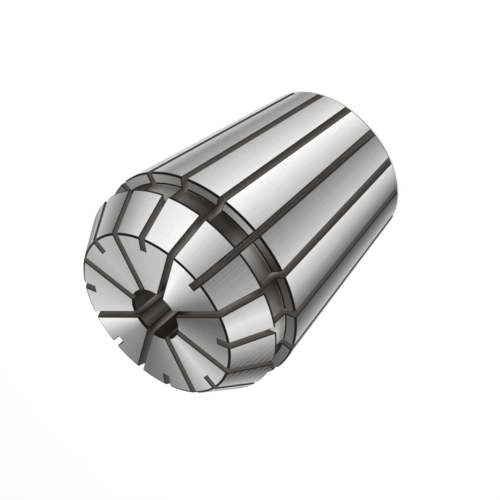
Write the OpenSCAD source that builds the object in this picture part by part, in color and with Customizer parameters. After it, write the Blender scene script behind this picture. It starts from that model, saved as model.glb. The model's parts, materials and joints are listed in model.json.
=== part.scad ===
/* [Body] */
// Overall length, from the rear face to the front face
overall_l = 40; // [34:0.5:48]
// Diameter at the shoulder, where the locating taper is widest
shoulder_d = 33; // [32.5:0.5:38]
// Half angle of the locating taper, in degrees
taper_angle = 8; // [5:0.5:10]

/* [Nose] */
// Widest diameter of the nose, at its rear lip
nose_d = 32; // [31:0.5:36]
// Half angle of the nose cone, in degrees
nose_angle = 30; // [25:1:40]
// Diameter of the front face
face_d = 25.6; // [22:0.2:28]
// Length of the narrow cylindrical land at the nose's widest diameter
lip_land = 0.3; // [0.1:0.05:0.8]

/* [Extraction groove] */
// Width of the groove behind the nose, along the axis
groove_w = 3.6; // [2.5:0.1:5]
// Depth of the groove, measured in from the rear lip of the nose
groove_depth = 1.25; // [0.8:0.05:2.5]
// Radius in the two corners at the bottom of the groove
groove_corner_r = 0.3; // [0.1:0.05:0.6]

/* [Bore] */
// Diameter of the clamping bore
bore_d = 7.5; // [6.5:0.5:14]
// Chamfer at the two mouths of the bore
mouth_chamfer = 0.3; // [0.1:0.05:0.8]

/* [Slots] */
// Number of slots sawn from each end, the two sets alternating
slots_per_end = 8; // [4:1:8]
// Width of a slot, which is the thickness of the saw
slot_w = 0.9; // [0.5:0.05:1.1]
// Diameter of the saw disc
saw_d = 50; // [44:1:70]
// How far the saw passes into the bore, beyond its wall
saw_overrun = 1.25; // [0.5:0.05:2]
// How far in from its rim the front face is notched by the slots sawn from the rear
front_notch = 2; // [1:0.1:4]
// How far in from its rim the rear face is notched by the slots sawn from the front
rear_notch = 2; // [1:0.1:4]

/* [Edges] */
// Chamfer round the front face
face_chamfer = 0.25; // [0.1:0.05:0.6]
// Chamfer on the corner of the shoulder
shoulder_chamfer = 0.25; // [0.1:0.05:0.6]
// Chamfer round the rear face
rear_chamfer = 0.4; // [0.1:0.05:1]

/* [Hidden] */
$fn = 180;

// How far a cutting shape runs past the surface that it leaves through
run_past = 1;

// Radii of the turned outline
shoulder_r = shoulder_d / 2;
nose_r = nose_d / 2;
face_r = face_d / 2;
groove_r = nose_r - groove_depth;
bore_r = bore_d / 2;

// Heights above the rear face, and the radius there, which follow from the angles
cone_z = overall_l - (nose_r - face_r) / tan(nose_angle);
lip_z = cone_z - lip_land;
shoulder_z = lip_z - groove_w;
rear_r = shoulder_r - shoulder_z * tan(taper_angle);

// The saw's radius, and the least distance from the axis that its edge reaches
saw_r = saw_d / 2;
saw_low_r = bore_r - saw_overrun;
slot_pitch = 360 / (2 * slots_per_end);

// Length over which the saw's round edge climbs from its lowest point to radius r
function run_out(r) = sqrt(pow(saw_r, 2) - pow(saw_r + saw_low_r - r, 2));

// Height of the saw's centre at the end of its cut, so that it just notches the far face
front_cut_end_z = run_out(rear_r - rear_notch);
rear_cut_end_z = overall_l - run_out(face_r - front_notch);

// Half section of the solid body without its groove, radius across and height up
module blank_section() {
    polygon([
        [bore_r + mouth_chamfer, 0],
        [rear_r - rear_chamfer, 0],
        [rear_r + rear_chamfer * tan(taper_angle), rear_chamfer],
        [shoulder_r - shoulder_chamfer * tan(taper_angle), shoulder_z - shoulder_chamfer],
        [shoulder_r - shoulder_chamfer, shoulder_z],
        [nose_r, lip_z],
        [nose_r, cone_z],
        [face_r + face_chamfer * tan(nose_angle), overall_l - face_chamfer],
        [face_r - face_chamfer, overall_l],
        [bore_r + mouth_chamfer, overall_l],
        [bore_r, overall_l - mouth_chamfer],
        [bore_r, mouth_chamfer]
    ]);
}

// Half section of what the grooving tool removes, with its two corners rounded
module groove_section() {
    depth = max(shoulder_r, nose_r) - groove_r + run_past;
    translate([groove_r, shoulder_z]) {
        translate([groove_corner_r, 0]) square([depth, groove_w]);
        translate([0, groove_corner_r]) square([depth, groove_w - 2 * groove_corner_r]);
        for (z = [groove_corner_r, groove_w - groove_corner_r])
            translate([groove_corner_r, z]) circle(groove_corner_r);
    }
}

module turned_body() {
    rotate_extrude() difference() {
        blank_section();
        groove_section();
    }
}

// One slot in the half plane of +X: a saw comes in at height from_z and stops with its centre at end_z
module saw_cut(from_z, end_z) {
    rotate([90, 0, 0]) linear_extrude(slot_w, center = true) {
        translate([saw_low_r + saw_r, end_z]) circle(saw_r);
        translate([saw_low_r, min(from_z, end_z)]) square([saw_r, abs(end_z - from_z)]);
    }
}

// The slots from the front and from the rear take turns round the axis
module slots() {
    for (i = [0:slots_per_end - 1]) {
        rotate([0, 0, 2 * i * slot_pitch]) saw_cut(overall_l + run_past, front_cut_end_z);
        rotate([0, 0, (2 * i + 1) * slot_pitch]) saw_cut(-run_past, rear_cut_end_z);
    }
}

// The collet, one piece of spring steel: turned, then slotted from both ends
module collet() {
    color("silver") difference() {
        turned_body();
        slots();
    }
}

collet();
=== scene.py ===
import json
import math
from collections import namedtuple
import bmesh
import bpy
import numpy as np
from mathutils import Matrix, Vector


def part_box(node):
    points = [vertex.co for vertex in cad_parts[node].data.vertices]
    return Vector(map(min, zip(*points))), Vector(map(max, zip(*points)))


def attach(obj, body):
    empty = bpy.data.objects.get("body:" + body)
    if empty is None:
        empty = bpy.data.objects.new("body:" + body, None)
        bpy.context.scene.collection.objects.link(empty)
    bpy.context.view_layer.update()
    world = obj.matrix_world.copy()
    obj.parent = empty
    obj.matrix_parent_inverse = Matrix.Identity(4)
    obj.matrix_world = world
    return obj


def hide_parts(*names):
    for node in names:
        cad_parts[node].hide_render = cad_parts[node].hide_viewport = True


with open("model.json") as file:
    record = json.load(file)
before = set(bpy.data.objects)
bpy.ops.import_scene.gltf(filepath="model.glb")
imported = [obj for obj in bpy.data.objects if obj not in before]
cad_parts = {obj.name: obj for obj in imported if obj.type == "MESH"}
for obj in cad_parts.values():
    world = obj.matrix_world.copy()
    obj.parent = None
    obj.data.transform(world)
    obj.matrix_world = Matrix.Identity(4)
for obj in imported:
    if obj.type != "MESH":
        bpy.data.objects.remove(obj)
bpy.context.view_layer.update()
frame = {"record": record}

# Sizes in millimetres: what the frame states, then the driving sizes of the turned outline
MM = 0.001
MOUNTS = {m["name"]: m for m in frame["record"]["mounts"]}
OVERALL_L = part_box("collet")[1].z / MM
BORE_R = MOUNTS["bore"]["dims"]["r_mm"]
SHOULDER_Z = MOUNTS["locating_taper"]["pos_m"][2] / MM
LIP_Z = MOUNTS["nose_cone"]["pos_m"][2] / MM
SHOULDER_R = 16.5
NOSE_R = 16.0
FACE_R = 12.8
GROOVE_R = 14.75
GROOVE_CORNER = 0.3
LIP_LAND = 0.3
TAPER_SLOPE = math.tan(math.radians(8))
NOSE_SLOPE = math.tan(math.radians(30))
REAR_R = SHOULDER_R - SHOULDER_Z * TAPER_SLOPE
FACE_CHAMFER = 0.25
SHOULDER_CHAMFER = 0.25
REAR_CHAMFER = 0.4
MOUTH_CHAMFER = 0.3

# The slots: a saw disc comes in from each end, passes into the bore and just notches the far face
SLOTS_PER_END = 8
SLOTS = 2 * SLOTS_PER_END
SLOT_PITCH = 2 * math.pi / SLOTS
SLOT_W = 0.9
SAW_R = 25.0
SAW_OVERRUN = 1.25
SAW_CENTRE_R = SAW_R + BORE_R - SAW_OVERRUN
NOTCH = 2.0
DEBURR = 0.12

# How finely the meshes are made, and how far the saw's cuts run past the part and into the bore
CORNER_STEPS = 6
SAW_STEPS = 32
RUN_PAST = 1.0
RUN_IN = 0.5
# Lines that rule a land lengthways, in degrees from the slot on either side of it. They keep off the
# slots' edges, on the outside and in the bore.
RULINGS = (2.8, 4.5, 5.9, 8.3, 9.8)
# Neighbours that turn by less than FLAT are one face, edges that turn by more than SHARP are deburred,
# and a face whose normal rises by more than LEVEL lies level
FLAT = math.radians(0.05)
SHARP = math.radians(40)
LEVEL = 0.9999

# The surfaces that get a finish of their own, in the order of the piece's materials
(GROUND_TAPER, GROUND_NOSE, GROUND_FACE, TURNED, GROOVE,
 DARK_EDGE_LINE, BORE, SAWN, SAWN_END, DEBURRED) = range(10)
SAW_MARKS = (SAWN, SAWN_END)
# The front face's chamfer is dark between these two shares of its width
RIM_LINE = (0.35, 0.98)


def quarter_round(r, z, start):
    """A groove corner in the half section, about (r, z), from angle start clockwise over 90 degrees."""
    angles = [start - math.pi / 2 * i / CORNER_STEPS for i in range(CORNER_STEPS + 1)]
    return [(r + GROOVE_CORNER * math.cos(a), z + GROOVE_CORNER * math.sin(a)) for a in angles]


def between(start, end, share):
    """The point at a share of the way from start to end."""
    return tuple(a + (b - a) * share for a, b in zip(start, end))


def half_section():
    """The half section as (points, surface) runs. A surface leads to each point of its run from the
    point before it, and the first run's from the last point of all."""
    rear_edge = (REAR_R + REAR_CHAMFER * TAPER_SLOPE, REAR_CHAMFER)
    shoulder_low = (SHOULDER_R - SHOULDER_CHAMFER * TAPER_SLOPE, SHOULDER_Z - SHOULDER_CHAMFER)
    shoulder_top = (SHOULDER_R - SHOULDER_CHAMFER, SHOULDER_Z)
    low_corner = quarter_round(GROOVE_R + GROOVE_CORNER, SHOULDER_Z + GROOVE_CORNER, -math.pi / 2)
    top_corner = quarter_round(GROOVE_R + GROOVE_CORNER, LIP_Z - GROOVE_CORNER, math.pi)
    face_low = (FACE_R + FACE_CHAMFER * NOSE_SLOPE, OVERALL_L - FACE_CHAMFER)
    face_top = (FACE_R - FACE_CHAMFER, OVERALL_L)
    rim_low, rim_top = (between(face_low, face_top, share) for share in RIM_LINE)
    return [
        ([(BORE_R + MOUTH_CHAMFER, 0)], DARK_EDGE_LINE),
        ([(REAR_R - REAR_CHAMFER, 0)], GROUND_FACE),
        ([rear_edge], TURNED),
        ([shoulder_low], GROUND_TAPER),
        ([shoulder_top], DARK_EDGE_LINE),
        (low_corner[:2], TURNED),
        (low_corner[2:5], DARK_EDGE_LINE),
        (low_corner[5:] + top_corner[:2], GROOVE),
        (top_corner[2:5], DARK_EDGE_LINE),
        (top_corner[5:] + [(NOSE_R, LIP_Z)], TURNED),
        ([(NOSE_R, LIP_Z + LIP_LAND)], DARK_EDGE_LINE),
        ([face_low, rim_low], GROUND_NOSE),
        ([rim_top], DARK_EDGE_LINE),
        ([face_top, (BORE_R + MOUTH_CHAMFER, OVERALL_L)], GROUND_FACE),
        ([(BORE_R, OVERALL_L - MOUTH_CHAMFER)], DARK_EDGE_LINE),
        ([(BORE_R, MOUTH_CHAMFER)], BORE),
    ]


def mesh_object(name, bm, materials):
    """A new object in the scene, made from the mesh in bm."""
    mesh = bpy.data.meshes.new(name)
    bm.to_mesh(mesh)
    bm.free()
    for material in materials:
        mesh.materials.append(material)
    thing = bpy.data.objects.new(name, mesh)
    bpy.context.scene.collection.objects.link(thing)
    return thing


def turned_blank(materials):
    """The body before slotting: the half section turned about the axis, every land ruled alike."""
    pitch = math.degrees(SLOT_PITCH)
    offsets = [0.0, *RULINGS, pitch / 2, *(pitch - a for a in reversed(RULINGS))]
    angles = [k * SLOT_PITCH + math.radians(a) for k in range(SLOTS) for a in offsets]
    outline = [(point, surface) for run, surface in half_section() for point in run]
    bm = bmesh.new()
    rings = [[bm.verts.new((r * math.cos(a), r * math.sin(a), z)) for a in angles]
             for (r, z), _ in outline]
    for i, (_, surface) in enumerate(outline):
        low, high = rings[i - 1], rings[i]
        for j in range(len(angles)):
            face = bm.faces.new((low[j - 1], low[j], high[j], high[j - 1]))
            face.material_index = surface
    bmesh.ops.recalc_face_normals(bm, faces=bm.faces)
    return mesh_object("turned_blank", bm, materials)


def run_out(r):
    """Length over which the saw's round edge climbs from its lowest point to radius r."""
    return math.sqrt(SAW_R ** 2 - (SAW_CENTRE_R - r) ** 2)


def saw_plate(from_front):
    """Outline of what one pass of the saw removes, as (radius, height) points."""
    inner, outer = BORE_R - RUN_IN, SHOULDER_R + RUN_PAST
    if from_front:
        start, centre, far, way = OVERALL_L + RUN_PAST, run_out(REAR_R - NOTCH), -RUN_PAST, -1
    else:
        start, centre, far, way = -RUN_PAST, OVERALL_L - run_out(FACE_R - NOTCH), OVERALL_L + RUN_PAST, 1
    first = math.acos((SAW_CENTRE_R - inner) / SAW_R)
    last = math.asin(abs(far - centre) / SAW_R)
    sweep = [first + (last - first) * i / SAW_STEPS for i in range(SAW_STEPS + 1)]
    arc = [(SAW_CENTRE_R - SAW_R * math.cos(a), centre + way * SAW_R * math.sin(a)) for a in sweep]
    return [(inner, start), *arc, (outer, far), (outer, start)]


def saw_cuts(materials):
    """What the saw removes in all its passes, as one mesh of separate plates."""
    bm = bmesh.new()
    for k in range(SLOTS):
        plate = saw_plate(from_front=k % 2 == 0)
        turn = Matrix.Rotation(-k * SLOT_PITCH, 4, "Z")
        left, right = ([bm.verts.new(turn @ Vector((r, side * SLOT_W / 2, z))) for r, z in plate]
                       for side in (-1, 1))
        bm.faces.new(left).material_index = SAWN
        bm.faces.new(reversed(right)).material_index = SAWN
        for i in range(len(plate)):
            bm.faces.new((left[i - 1], right[i - 1], right[i], left[i])).material_index = SAWN_END
    bmesh.ops.recalc_face_normals(bm, faces=bm.faces)
    return mesh_object("saw_cuts", bm, materials)


def cut(blank, cutter):
    """Takes the cutter's solids out of the blank, and removes the cutter."""
    modifier = blank.modifiers.new("slots", "BOOLEAN")
    modifier.operation = "DIFFERENCE"
    modifier.solver = "MANIFOLD"
    modifier.object = cutter
    result = bpy.data.meshes.new_from_object(blank.evaluated_get(bpy.context.evaluated_depsgraph_get()))
    blank.modifiers.clear()
    blank.data = result
    bpy.data.objects.remove(cutter)


def is_slot_edge(edge):
    """Whether a saw cut meets another surface here at a sharp outer corner."""
    if len(edge.link_faces) != 2 or not edge.is_convex:
        return False
    sawn = [face.material_index in SAW_MARKS for face in edge.link_faces]
    return sawn[0] != sawn[1] and edge.calc_face_angle() > SHARP


def deburr(thing):
    """Joins what is flat into single faces, then takes the sharp edges off the slots."""
    bm = bmesh.new()
    bm.from_mesh(thing.data)
    bmesh.ops.dissolve_limit(bm, angle_limit=FLAT, verts=bm.verts, edges=bm.edges, delimit={"MATERIAL"})
    bmesh.ops.bevel(bm, geom=[e for e in bm.edges if is_slot_edge(e)], offset=DEBURR,
                    offset_type="OFFSET", segments=2, profile=0.5, affect="EDGES",
                    clamp_overlap=False, material=DEBURRED)
    bm.to_mesh(thing.data)
    bm.free()


def round_normals(thing):
    """Gives each turned face the true normals of its cone or cylinder. Flat faces keep their own."""
    mesh = thing.data
    normals = np.zeros((len(mesh.loops), 3))
    for face in mesh.polygons:
        n, c = face.normal, face.center
        flat = face.material_index in (*SAW_MARKS, DEBURRED) or abs(n.z) > LEVEL
        out = math.copysign(math.hypot(n.x, n.y), n.x * c.x + n.y * c.y)
        for loop in face.loop_indices:
            v = mesh.vertices[mesh.loops[loop].vertex_index].co
            r = math.hypot(v.x, v.y)
            normals[loop] = n if flat else (out * v.x / r, out * v.y / r, n.z)
    mesh.shade_smooth()
    mesh.normals_split_custom_set(normals)


# Finishes. Tones are given in steps from 0 for black to 10 for white. These tables follow greys that were
# read off the drawing at about three places on each land between two slots, then corrected against the
# render and rounded: report.md says so under "Tones read off the drawing". A land's run of tone goes
# from its first slot to the next, and the eight lands repeat on the far half.
# These steps paint the lands' sheen and shade into their colour: painted highlights, reflections and
# shadow.
TAPER_SHEEN_AND_SHADE = [(9, 6, 7), (7, 9), (10, 7), (5, 8), (9, 7, 4), (3, 9), (6, 9), (8, 10)]
NOSE_SHEEN_AND_SHADE = [(6, 9), (9, 10), (10, 6), (5, 7), (7, 9, 8), (8, 4), (3, 9), (9, 5)]
SHOULDER_SHEEN_AND_SHADE = [(7, 5), (5, 5), (6, 8), (5, 2), (3, 4), (4, 5), (5, 4), (6, 7)]
GROOVE_SHEEN_AND_SHADE = [(5, 6, 5), (4, 2), (2, 2, 4), (6, 3), (2, 4, 5), (7, 9, 8), (3, 2), (2, 3)]
BORE_PAINTED_SHADE = [(2, 2), (2, 2), (2, 4), (4, 2), (3, 3), (3, 3), (3, 2), (2, 2)]
# The faces' run of painted sheen and shade goes all the way round: (slot, step), also part of the way
# between two slots
FACE_SHEEN_AND_SHADE = [(0, 7), (2, 8), (2.1, 10), (2.4, 10), (3, 7.5), (3.6, 5), (4.3, 4), (7, 8.5),
              (8, 6.5), (9.7, 4.5), (11, 6), (11.8, 10), (12.2, 8.5), (14, 7), (15, 7.5), (16, 7)]
# A slot's wall, by its depth below the surface in mm: (depth, step). It is dark at the surface and paler
# deeper down, painted light against the shade deep in the slot.
SAWN_TONE_AND_PAINTED_LIGHT = [(0, 3.4), (0.5, 3.8), (1, 4.7), (2, 6.7), (3.6, 9), (12, 9.3)]
BRIGHTEST = 0.98
# A land's first and last step lie at these shares of the way between its slots
LAND_EDGES = (0.04, 0.96)

# Tones from 0 to 1: those of the dark lines on edges, of the saw's round run-outs and of the slots' edges
EDGE_LINE_TONE = 0.10
CHAMFER_TONE = 0.05
RUN_OUT_TONE = 0.48
SLOT_EDGE_TONE = 0.16
# Near the bore the slots' walls get painted shade, but not just below the front face
BORE_SHADE = 0.36
BORE_SHADE_W = 2.5
FACE_LIGHT = (OVERALL_L - 1.3, OVERALL_L - 0.4)
# From these heights down the bore, its edges and the walls beside it are pale, as the slots' deep walls
# are; above them, the bore's wall and the slots' walls next to it carry painted shade
DEEP_BORE = (33.5, 32.5)
DEEP_BORE_TONE = 0.75
DEEP_EDGE_TONE = 0.62
# An edge is the bore's up to the first of these radii, and not from the second on
BORE_EDGES = (BORE_R + 0.2, BORE_R + 0.5)

# The tint of each finish where it is light, and of all of them up to a dark tone
GROUND_TINT = (1.0, 0.995, 0.99)
TURNED_TINT = (1.0, 0.985, 0.97)
BORE_TINT = (1.0, 0.95, 0.91)
SAWN_TINT = (1.0, 0.93, 0.88)
DARK_TINT = (1.0, 0.87, 0.76)
DARK_TONE = 0.12
DISPLAY_GAMMA = 2.2
# What steel reflects at a grazing angle, and how much dull steel reflects
EDGE_TINT = 0.6
DULL_SPECULAR = 0.2

# How much marks, stains and painted reflection streaks change the tone: on ground steel the painted
# reflection streaks along a land and the wheel's rings, on turned and reamed steel the tool's rings, and
# on dark steel its specks and clouds
REFLECTION_STREAKS = 0.05
RINGS = 0.012
TOOL_MARKS = 0.02
SPECKS = 0.02
CLOUDS = 0.01
# The roughness of each kind of steel, from its smoothest to its roughest spots, and how much the rings
# and specks change it
GROUND_ROUGH = (0.26, 0.35)
TURNED_ROUGH = (0.34, 0.48)
BORE_ROUGH = (0.4, 0.55)
RINGS_ROUGH = 0.03
SPECKS_ROUGH = 0.08
# The nose also carries painted shade as hatching in straight strokes: the way across them, their spacing
# in mm, how far their waves drift in radians, and how much the even and the uneven ones change the tone.
# They are weaker where the tone is light, by (from, to, strength at from, at to) and a power, and on the
# far half, by the turn from the first slot.
HATCH_TURN = math.radians(26)
STROKE = 0.48
STROKE_DRIFT = 8.0
EVEN_STROKES = 0.11
UNEVEN_STROKES = 0.35
STROKES_BY_TONE = (0.35, 0.95, 1.0, 0.2)
STROKES_FALL = 4.0
STROKES_ROUND = [(0.24, 0.65), (0.26, 1.0), (0.49, 1.0), (0.51, 0.2), (0.93, 0.2), (0.945, 1.0)]

Place = namedtuple("Place", "here turn radius height")


class Nodes:
    """A short way to build the nodes of a material or a world."""

    def __init__(self, owner):
        self.owner = owner
        self.owner.use_nodes = True
        self.tree = self.owner.node_tree
        self.shader = self.tree.nodes.get("Principled BSDF")

    def add(self, kind, inputs, **settings):
        """A new node with these settings, its inputs set or linked."""
        made = self.tree.nodes.new(kind)
        for key, value in settings.items():
            setattr(made, key, value)
        for socket, value in inputs.items():
            self.feed(made.inputs[socket], value)
        return made

    def feed(self, socket, value):
        """Links an output to the socket, or sets the socket to a plain value."""
        if isinstance(value, bpy.types.NodeSocket):
            self.tree.links.new(value, socket)
        else:
            socket.default_value = value

    def calc(self, operation, a, b=0.0, c=0.0):
        """The result of a Math node."""
        return self.add("ShaderNodeMath", {0: a, 1: b, 2: c}, operation=operation).outputs[0]

    def span(self, value, low, high, to_low, to_high):
        """The value brought from one range to another, and kept inside it."""
        inputs = {"Value": value, "From Min": low, "From Max": high, "To Min": to_low, "To Max": to_high}
        return self.add("ShaderNodeMapRange", inputs).outputs[0]

    def spread(self, noise, low, high):
        """A noise, which mostly lies between 0.3 and 0.7, brought to a range."""
        return self.span(noise, 0.3, 0.7, low, high)

    def vector(self, x, y, z):
        """A vector of three values."""
        return self.add("ShaderNodeCombineXYZ", {0: x, 1: y, 2: z}).outputs[0]

    def scaled(self, vector, by):
        """A vector or colour times a value."""
        return self.add("ShaderNodeVectorMath", {0: vector, "Scale": by}, operation="SCALE").outputs[0]

    def stretched(self, place, turn, radius=1.0, height=1.0):
        """Where to read a noise: the place's turn, radius and height, each times its factor."""
        return self.vector(self.calc("MULTIPLY", place.turn, turn),
                           self.calc("MULTIPLY", place.radius, radius),
                           self.calc("MULTIPLY", place.height, height))

    def noise(self, where, scale, detail=2.0, roughness=0.5):
        """Noise between 0 and 1 at a place."""
        inputs = {"Vector": where, "Scale": scale, "Detail": detail, "Roughness": roughness}
        return self.add("ShaderNodeTexNoise", inputs).outputs["Fac"]

    def mix(self, share, start, end):
        """A colour that goes from start to end as the share goes from 0 to 1."""
        made = self.add("ShaderNodeMix", {"Factor": share}, data_type="RGBA")
        made.inputs[6].default_value = (*start, 1)
        made.inputs[7].default_value = (*end, 1)
        return made.outputs[2]

    def ramp(self, value, stops):
        """The tone at a value, from (value, tone) stops in rising order."""
        made = self.add("ShaderNodeValToRGB", {"Fac": value})
        elements = made.color_ramp.elements
        for where, _ in stops[:-2]:
            elements.new(where)
        for element, (where, tone) in zip(elements, stops):
            element.position = where
            element.color = (tone, tone, tone, 1)
        return made.outputs["Color"]

    def place(self):
        """The place on the part in mm, and its turn (0 to 1, clockwise from the first slot), radius
        and height."""
        here = self.scaled(self.add("ShaderNodeTexCoord", {}).outputs["Object"], 1 / MM)
        x, y, height = self.add("ShaderNodeSeparateXYZ", {0: here}).outputs
        angle = self.calc("ARCTAN2", y, x)
        turn = self.calc("FRACT", self.calc("MULTIPLY", angle, -0.5 / math.pi))
        squares = self.calc("ADD", self.calc("POWER", x, 2.0), self.calc("POWER", y, 2.0))
        return Place(here, turn, self.calc("SQRT", squares), height)

    def finish(self, tone, tint, rough, height, depth, metallic=1.0, anisotropy=0.0, light_from=0.5):
        """Sets the shader from a tone as displayed, its tint at light_from and above, a roughness, and
        a height from 0 to 1 for bumps of a depth in mm. Returns the material."""
        shade = self.mix(self.span(tone, DARK_TONE, light_from, 0.0, 1.0), DARK_TINT, tint)
        colour = self.scaled(shade, self.calc("POWER", tone, DISPLAY_GAMMA))
        self.feed(self.shader.inputs["Base Color"], colour)
        self.feed(self.shader.inputs["Roughness"], rough)
        self.shader.inputs["Metallic"].default_value = metallic
        self.shader.inputs["Specular Tint"].default_value = (EDGE_TINT, EDGE_TINT, EDGE_TINT, 1)
        bump = self.add("ShaderNodeBump", {"Height": height, "Distance": depth * MM, "Strength": 1.0})
        self.feed(self.shader.inputs["Normal"], bump.outputs[0])
        if anisotropy:
            self.shader.inputs["Anisotropic"].default_value = anisotropy
            around = self.add("ShaderNodeTangent", {}, direction_type="RADIAL", axis="Z")
            self.feed(self.shader.inputs["Tangent"], around.outputs[0])
        return self.owner


def tone_of(step):
    """A step from 0 to 10 as a tone from 0 to 1."""
    return min(step / 10, BRIGHTEST)


def land_sheen_and_shade(n, turn, lands):
    """The painted sheen and shade of the lands, twice round the part."""
    stops = []
    for i, steps in enumerate(lands):
        shares = np.linspace(*LAND_EDGES, len(steps))
        stops += [((i + share) / len(lands), tone_of(step)) for share, step in zip(shares, steps)]
    return n.ramp(n.calc("FRACT", n.calc("MULTIPLY", turn, 2.0)), stops)


def face_sheen_and_shade(n, turn):
    """The painted sheen and shade round the two faces."""
    return n.ramp(turn, [(slot / SLOTS, tone_of(step)) for slot, step in FACE_SHEEN_AND_SHADE])


def painted_hatching(n, place, tone, grain):
    """The tone with painted shade hatching in straight strokes over it, stronger where it is dark."""
    way = (math.cos(HATCH_TURN), math.sin(HATCH_TURN), 0)
    dot = n.add("ShaderNodeVectorMath", {0: place.here, 1: way}, operation="DOT_PRODUCT")
    across = dot.outputs["Value"]
    slow = n.vector(across, n.calc("MULTIPLY", place.height, 0.12), 0.0)
    drift = n.calc("MULTIPLY", n.noise(slow, scale=0.45, roughness=0.6), STROKE_DRIFT)
    even = n.calc("SINE", n.calc("MULTIPLY_ADD", across, 2 * math.pi / STROKE, drift))
    quick = n.vector(across, n.calc("MULTIPLY", place.height, 0.05), 0.0)
    uneven = n.calc("SUBTRACT", n.noise(quick, scale=2.4, roughness=0.6), 0.5)
    uneven = n.calc("MULTIPLY", uneven, UNEVEN_STROKES)
    stroke = n.calc("ADD", n.calc("MULTIPLY", even, EVEN_STROKES), uneven)
    by_turn = n.calc("MULTIPLY", n.ramp(place.turn, STROKES_ROUND), grain)
    by_tone = n.calc("POWER", n.span(tone, *STROKES_BY_TONE), STROKES_FALL)
    return n.calc("MULTIPLY_ADD", stroke, n.calc("MULTIPLY", by_tone, by_turn), tone)


def ground(name, sheen_and_shade_of_turn, edge, grain=0.0):
    """Bright ground steel with painted sheen and shade round the part, rings left by the wheel, faint
    painted reflection streaks, painted shade hatching where grain is given, and a dark line along an edge.
    The edge is (height or radius, from, to): dark as that line at from, and clear of it at to."""
    n = Nodes(bpy.data.materials.new(name))
    place = n.place()
    rings = n.noise(n.stretched(place, turn=3.0), scale=4.0, detail=3.0, roughness=0.6)
    along = n.stretched(place, turn=260.0, radius=0.05, height=0.12)
    streaks = n.calc("SUBTRACT", n.noise(along, scale=1.0, detail=3.0, roughness=0.6), 0.5)
    streaks = n.calc("MULTIPLY", streaks, REFLECTION_STREAKS)
    tone = n.calc("ADD", sheen_and_shade_of_turn(n, place.turn), streaks)
    # Here grain is the strength of the painted shade hatching.
    if grain:
        tone = painted_hatching(n, place, tone, grain)
    tone = n.calc("ADD", tone, n.spread(rings, -RINGS, RINGS))
    coordinate, dark_at, clear_at = edge
    clear = n.span(getattr(place, coordinate), dark_at, clear_at, 0.0, 1.0)
    tone = n.calc("MULTIPLY_ADD", n.calc("SUBTRACT", tone, EDGE_LINE_TONE), clear, EDGE_LINE_TONE)
    cloud = n.noise(place.here, scale=0.35, detail=3.0)
    rough = n.calc("ADD", n.spread(cloud, *GROUND_ROUGH), n.spread(rings, -RINGS_ROUGH, RINGS_ROUGH))
    return n.finish(tone, GROUND_TINT, rough, rings, depth=0.0015, anisotropy=0.6, light_from=0.25)


def turned(name, lands, metallic):
    """Steel as the lathe left it, with the painted sheen and shade of its lands, which keep it darker than
    the ground surfaces.
    """
    n = Nodes(bpy.data.materials.new(name))
    place = n.place()
    rings = n.noise(n.stretched(place, turn=2.0), scale=5.0, detail=4.0, roughness=0.7)
    tone = n.calc("ADD", land_sheen_and_shade(n, place.turn, lands), n.spread(rings, -TOOL_MARKS, TOOL_MARKS))
    rough = n.spread(n.noise(place.here, scale=0.5, detail=3.0), *TURNED_ROUGH)
    return n.finish(tone, TURNED_TINT, rough, rings, depth=0.008, metallic=metallic, anisotropy=0.4)


def reamed(name):
    """The bore as the reamer left it, with painted shade near the mouth, and pale far down, where it is
    only seen through the slots.
    """
    n = Nodes(bpy.data.materials.new(name))
    n.shader.inputs["Specular IOR Level"].default_value = DULL_SPECULAR
    place = n.place()
    rings = n.noise(n.stretched(place, turn=4.0, radius=0.0), scale=6.0, detail=4.0, roughness=0.7)
    deep = n.span(place.height, *DEEP_BORE, 0.0, DEEP_BORE_TONE)
    tone = n.calc("MAXIMUM", land_sheen_and_shade(n, place.turn, BORE_PAINTED_SHADE), deep)
    tone = n.calc("ADD", tone, n.spread(rings, -TOOL_MARKS, TOOL_MARKS))
    return n.finish(tone, BORE_TINT, n.spread(rings, *BORE_ROUGH), rings, depth=0.004, metallic=0.3)


def dark_steel(name, tone_at, rough, grain):
    """Dull dark steel of the saw cuts, and of the dark lines in corners and on edges."""
    n = Nodes(bpy.data.materials.new(name))
    n.shader.inputs["Specular IOR Level"].default_value = DULL_SPECULAR
    place = n.place()
    speck = n.noise(place.here, grain, detail=5.0, roughness=0.65)
    cloud = n.noise(place.here, scale=0.4)
    tone = n.calc("ADD", tone_at(n, place), n.spread(speck, -SPECKS, SPECKS))
    tone = n.calc("ADD", tone, n.spread(cloud, -CLOUDS, CLOUDS))
    rough = n.spread(speck, rough - SPECKS_ROUGH, rough + SPECKS_ROUGH)
    return n.finish(tone, SAWN_TINT, rough, speck, depth=0.006, metallic=0.0)


def below_cone(n, place, edge_r, edge_z, slope):
    """How far inside a cone through (edge_r, edge_z) that widens downward by the slope."""
    cone = n.calc("MULTIPLY_ADD", n.calc("SUBTRACT", edge_z, place.height), slope, edge_r)
    return n.calc("MULTIPLY", n.calc("SUBTRACT", cone, place.radius), 1 / math.hypot(1, slope))


def below_groove(n, place):
    """How far below the bottom of the groove or to the side of it."""
    middle = (SHOULDER_Z + LIP_Z) / 2
    off_middle = n.calc("ABSOLUTE", n.calc("SUBTRACT", place.height, middle))
    aside = n.calc("MAXIMUM", n.calc("SUBTRACT", off_middle, LIP_Z - middle), 0.0)
    return n.calc("ADD", n.calc("SUBTRACT", GROOVE_R, place.radius), aside)


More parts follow.
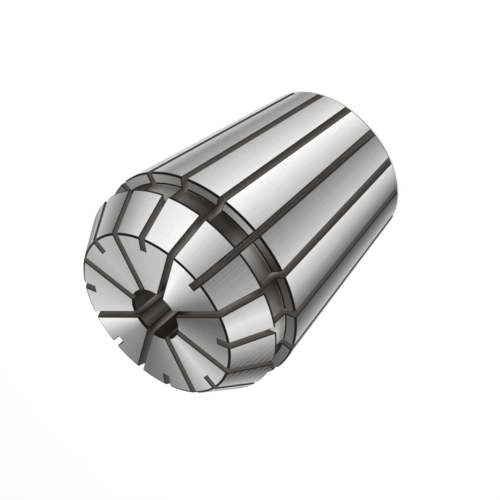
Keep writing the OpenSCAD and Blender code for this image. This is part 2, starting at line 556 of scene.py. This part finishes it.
def sawn_tone(n, place):
    """Tone of a slot's wall, dark at the surface and paler with the depth below it, painted light against
    the shade deep in the slot; near the bore it gets painted shade.
    """
    depth = n.calc("SUBTRACT", OVERALL_L, place.height)
    for other in (below_cone(n, place, FACE_R, OVERALL_L, NOSE_SLOPE),
                  below_cone(n, place, SHOULDER_R, SHOULDER_Z, -TAPER_SLOPE),
                  below_groove(n, place)):
        depth = n.calc("MINIMUM", depth, other)
    deepest = SAWN_TONE_AND_PAINTED_LIGHT[-1][0]
    stops = [(mm / deepest, tone_of(step)) for mm, step in SAWN_TONE_AND_PAINTED_LIGHT]
    tone = n.ramp(n.calc("DIVIDE", depth, deepest), stops)
    shade = n.span(place.radius, BORE_R, BORE_R + BORE_SHADE_W, BORE_SHADE, 1.0)
    shade = n.calc("MAXIMUM", shade, n.span(place.height, *FACE_LIGHT, 0.0, 1.0))
    shade = n.calc("MAXIMUM", shade, n.span(place.height, *DEEP_BORE, 0.0, 1.0))
    return n.calc("MULTIPLY", tone, shade)


def slot_edge_tone(n, place):
    """Tone of the slots' broken edges, which are dark except far down in the bore."""
    in_bore = n.span(place.radius, *BORE_EDGES, 1.0, 0.0)
    deep = n.span(place.height, *DEEP_BORE, 0.0, DEEP_EDGE_TONE)
    return n.calc("MAXIMUM", n.calc("MULTIPLY", in_bore, deep), SLOT_EDGE_TONE)


def finishes():
    """The collet's materials, in the order of its surfaces."""
    shoulder_edge = SHOULDER_Z - SHOULDER_CHAMFER
    lip_edge = LIP_Z + LIP_LAND
    face_edge = FACE_R - FACE_CHAMFER
    return [
        ground("ground_taper", lambda n, turn: land_sheen_and_shade(n, turn, TAPER_SHEEN_AND_SHADE),
               ("height", shoulder_edge - 0.04, shoulder_edge - 0.10)),
        # The nose's grain is the strength of its painted shade hatching.
        ground("ground_nose", lambda n, turn: land_sheen_and_shade(n, turn, NOSE_SHEEN_AND_SHADE),
               ("height", lip_edge, lip_edge + 0.04), grain=0.75),
        ground("ground_face", face_sheen_and_shade, ("radius", face_edge - 0.05, face_edge - 0.10)),
        turned("turned_shoulder", SHOULDER_SHEEN_AND_SHADE, metallic=0.0),
        turned("turned_groove", GROOVE_SHEEN_AND_SHADE, metallic=0.7),
        # A dark line along edges and in the groove's corners.
        dark_steel("oxide_edge", lambda n, place: CHAMFER_TONE, rough=0.6, grain=4.0),
        reamed("reamed_bore"),
        dark_steel("sawn_wall", sawn_tone, rough=0.75, grain=6.0),
        dark_steel("sawn_end", lambda n, place: RUN_OUT_TONE, rough=0.75, grain=6.0),
        dark_steel("slot_edge", slot_edge_tone, rough=0.6, grain=6.0),
    ]


def collet():
    """The collet in metres, in place of its solid."""
    materials = finishes()
    thing = turned_blank(materials)
    cut(thing, saw_cuts(materials))
    deburr(thing)
    thing.data.transform(Matrix.Scale(MM, 4))
    round_normals(thing)
    thing.name = "slotted_collet"
    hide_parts("collet")
    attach(thing, "root")


# The drawing's viewpoint in degrees and mm: the way to the camera, its roll, distance, aim and lens
VIEW_AZIMUTH = math.radians(-64.45)
VIEW_ELEVATION = math.radians(35.97)
VIEW_ROLL = math.radians(131.0)
VIEW_DISTANCE = 252.96
VIEW_CENTRE = Vector((0.307, -4.879, 24.412))
VIEW_LENS = 133.1
SENSOR_W = 36
NEAREST_SEEN = 0.01
TO_CAMERA = Vector((math.cos(VIEW_ELEVATION) * math.cos(VIEW_AZIMUTH),
                    math.cos(VIEW_ELEVATION) * math.sin(VIEW_AZIMUTH), math.sin(VIEW_ELEVATION)))

# The floor: its size in metres, its gap below the part in mm, then its colour and its own white to the
# camera. Both are dark up to the first of these radii, a painted shadow under the part where the floor
# only shows through the slots, and light from the second on.
FLOOR_SIZE = 3
FLOOR_GAP = 0.02
PAINTED_SHADOW_RADII = (REAR_R - 0.4, REAR_R - 0.1)
FLOOR_TONE = 0.88
PAINTED_SHADOW_TONE = 0.052
FLOOR_GLOW = 0.38
PAINTED_SHADOW_GLOW = 0.048
FLOOR_ROUGH = 0.9
WHITE = (1, 1, 1)

# The light: what the room gives dull surfaces, and the key beside the camera, its distance in mm, its
# size in metres and its power in watts
ROOM_LIGHT = 0.35
KEY_DISTANCE = 900
KEY_SIZE = 0.12
KEY_POWER = 6.5


def camera():
    """The scene's camera, at the drawing's viewpoint."""
    data = bpy.data.cameras.new("camera")
    data.lens = VIEW_LENS
    data.sensor_width = SENSOR_W
    data.sensor_fit = "HORIZONTAL"
    data.clip_start = NEAREST_SEEN
    thing = bpy.data.objects.new("camera", data)
    bpy.context.scene.collection.objects.link(thing)
    thing.location = (VIEW_CENTRE + TO_CAMERA * VIEW_DISTANCE) * MM
    upright = TO_CAMERA.to_track_quat("Z", "Y").to_matrix()
    thing.rotation_euler = (upright @ Matrix.Rotation(-VIEW_ROLL, 3, "Z")).to_euler()
    bpy.context.scene.camera = thing


def seen_directly(n):
    """1 for what the camera, a mirror or a clear solid shows, 0 for light on its way to a dull surface."""
    ray = n.add("ShaderNodeLightPath", {}).outputs
    mirrored = n.calc("MAXIMUM", ray["Is Glossy Ray"], ray["Is Transmission Ray"])
    return n.calc("MAXIMUM", ray["Is Camera Ray"], mirrored)


def floor():
    """White floor that also shows white to the camera and in the steel, and keeps the part's shadow, with
    a painted shadow under the part.
    """
    bm = bmesh.new()
    below = Matrix.Translation((0, 0, -FLOOR_GAP * MM))
    bmesh.ops.create_grid(bm, x_segments=1, y_segments=1, size=FLOOR_SIZE, matrix=below)
    n = Nodes(bpy.data.materials.new("floor"))
    n.shader.inputs["Roughness"].default_value = FLOOR_ROUGH
    # Under the part the floor's colour and its glow are a painted shadow.
    clear = n.span(n.place().radius, *PAINTED_SHADOW_RADII, 0.0, 1.0)
    n.feed(n.shader.inputs["Base Color"], n.ramp(clear, [(0, PAINTED_SHADOW_TONE), (1, FLOOR_TONE)]))
    n.feed(n.shader.inputs["Emission Color"], n.mix(clear, DARK_TINT, WHITE))
    glow = n.calc("MULTIPLY", seen_directly(n), n.span(clear, 0.0, 1.0, PAINTED_SHADOW_GLOW, FLOOR_GLOW))
    n.feed(n.shader.inputs["Emission Strength"], glow)
    thing = mesh_object("floor", bm, [n.owner])


def studio():
    """An even white room, and a soft key from beside the camera, whose shadow falls behind the part."""
    n = Nodes(bpy.data.worlds.new("studio"))
    bpy.context.scene.world = n.owner
    background = n.tree.nodes["Background"].inputs
    background["Color"].default_value = (*WHITE, 1)
    n.feed(background["Strength"], n.span(seen_directly(n), 0, 1, ROOM_LIGHT, 1))
    data = bpy.data.lights.new("key", "AREA")
    data.shape = "DISK"
    data.size = KEY_SIZE
    data.energy = KEY_POWER
    key = bpy.data.objects.new("key", data)
    bpy.context.scene.collection.objects.link(key)
    key.location = (VIEW_CENTRE + TO_CAMERA * KEY_DISTANCE) * MM
    key.rotation_euler = TO_CAMERA.to_track_quat("Z", "Y").to_euler()
    key.visible_glossy = False


collet()
camera()
floor()
studio()

bpy.context.scene.view_settings.view_transform = "Standard"
